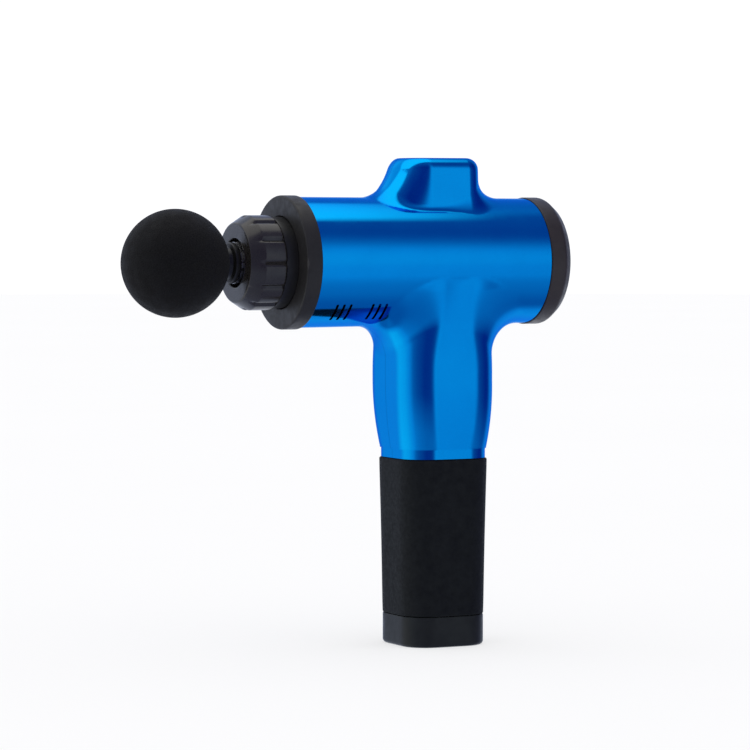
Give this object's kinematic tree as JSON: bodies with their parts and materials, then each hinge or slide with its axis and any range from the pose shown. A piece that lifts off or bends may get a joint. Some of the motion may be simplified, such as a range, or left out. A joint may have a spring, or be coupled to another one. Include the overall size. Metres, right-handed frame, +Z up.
{
  "type": "massage gun",
  "caption": "Cordless T-shaped percussion massage gun: blue barrel with motor hump, fluted nose collar, foam ball head, rear display and black battery grip it stands on.",
  "frame": {"origin": "middle of the base's underside, on the grip's axis", "axes": "+Z up along the grip, -X along the barrel towards the massage head, +Y across the barrel"},
  "size_m": [0.2183, 0.0626, 0.231],
  "materials": {
    "shell_blue": "gloss",
    "trim_dark_grey": "satin",
    "collar_dark_grey": "satin",
    "cap_black": "satin",
    "inner_black_plastic": "satin",
    "white_polymer": "satin",
    "button_grey": "satin",
    "base_charcoal": "satin",
    "display_lens": "gloss",
    "grip_rubber": "matte",
    "o_ring_rubber": "satin",
    "lead_insulation": "satin",
    "ball_foam": "matte",
    "aluminium": "satin",
    "cell_wrap": "satin",
    "steel": "satin",
    "dark_steel": "satin",
    "copper": "satin",
    "brass": "satin",
    "circuit_board": "satin"
  },
  "bodies": {
    "housing": {"left_housing_shell": "shell_blue", "right_housing_shell": "shell_blue", "shell_screw_1": "steel", "shell_screw_2": "steel", "shell_screw_3": "steel", "shell_screw_4": "steel", "shell_screw_5": "steel", "front_ring": "trim_dark_grey", "nose_block": "inner_black_plastic", "guide_bushing": "white_polymer", "rear_cap": "cap_black", "display_lens": "display_lens", "display_board": "circuit_board", "display_module": "inner_black_plastic", "plus_switch": "inner_black_plastic", "minus_switch": "inner_black_plastic", "motor_bracket": "aluminium", "motor_base": "aluminium", "bracket_screw_1": "steel", "bracket_screw_2": "steel", "stator_core": "dark_steel", "stator_winding": "copper", "lower_bearing": "steel", "upper_bearing": "steel", "control_board": "circuit_board", "capacitor": "aluminium", "motor_lead": "lead_insulation", "battery_lead": "lead_insulation", "battery_case": "inner_black_plastic", "battery_cell_1": "cell_wrap", "battery_cell_2": "cell_wrap", "battery_cell_3": "cell_wrap", "battery_cell_4": "cell_wrap", "cell_retainer": "inner_black_plastic", "battery_board": "circuit_board", "grip_sleeve": "grip_rubber", "base_cap": "base_charcoal", "base_screw_1": "steel", "base_screw_2": "steel", "switch_housing": "inner_black_plastic", "charge_jack": "inner_black_plastic", "charge_pin": "brass"},
    "crank": {"motor_shaft": "steel", "motor_bell": "steel", "magnet_ring": "dark_steel", "crank_wheel": "steel", "crank_pin_screw": "steel"},
    "rod": {"connecting_rod": "aluminium", "crank_bearing": "steel", "wrist_pin": "steel"},
    "plunger": {"piston": "aluminium"},
    "massage_head": {"ball_cover": "ball_foam", "ball_core": "inner_black_plastic", "head_stem": "inner_black_plastic", "o_ring_1": "o_ring_rubber", "o_ring_2": "o_ring_rubber"},
    "collar": {"nose_collar": "collar_dark_grey"},
    "rocker": {"power_rocker": "button_grey"},
    "plus_key": {"plus_button": "button_grey"},
    "minus_key": {"minus_button": "button_grey"}
  },
  "joints": [
    {"name": "motor_spin", "type": "hinge", "parent": "housing", "child": "crank", "pos_m": [0, 0, 0.202], "axis": [0, 0, 1], "continuous": true},
    {"name": "rod_swing", "type": "hinge", "parent": "crank", "child": "rod", "pos_m": [0.006, 0, 0.182], "axis": [0, 0, 1], "continuous": true},
    {"name": "piston_stroke", "type": "slide", "parent": "housing", "child": "plunger", "axis": [-1, 0, 0], "range_m": [0, 0.012]},
    {"name": "head_pull", "type": "slide", "parent": "plunger", "child": "massage_head", "axis": [-1, 0, 0], "range_m": [0, 0.03]},
    {"name": "collar_turn", "type": "hinge", "parent": "housing", "child": "collar", "pos_m": [-0.092, 0, 0.182], "axis": [1, 0, 0], "range_deg": [0, 90]},
    {"name": "power_rock", "type": "hinge", "parent": "housing", "child": "rocker", "pos_m": [-0.01, 0, 0.005], "axis": [0, 1, 0], "range_deg": [0, 14]},
    {"name": "plus_press", "type": "slide", "parent": "housing", "child": "plus_key", "axis": [-1, 0, 0], "range_m": [0, 0.0008], "stiffness_N_per_m": 600, "springref_m": -0.0005},
    {"name": "minus_press", "type": "slide", "parent": "housing", "child": "minus_key", "axis": [-1, 0, 0], "range_m": [0, 0.0008], "stiffness_N_per_m": 600, "springref_m": -0.0005}
  ],
  "couplings": [
    {"joint": "rod_swing", "follows": "motor_spin", "ratio": -1}
  ]
}
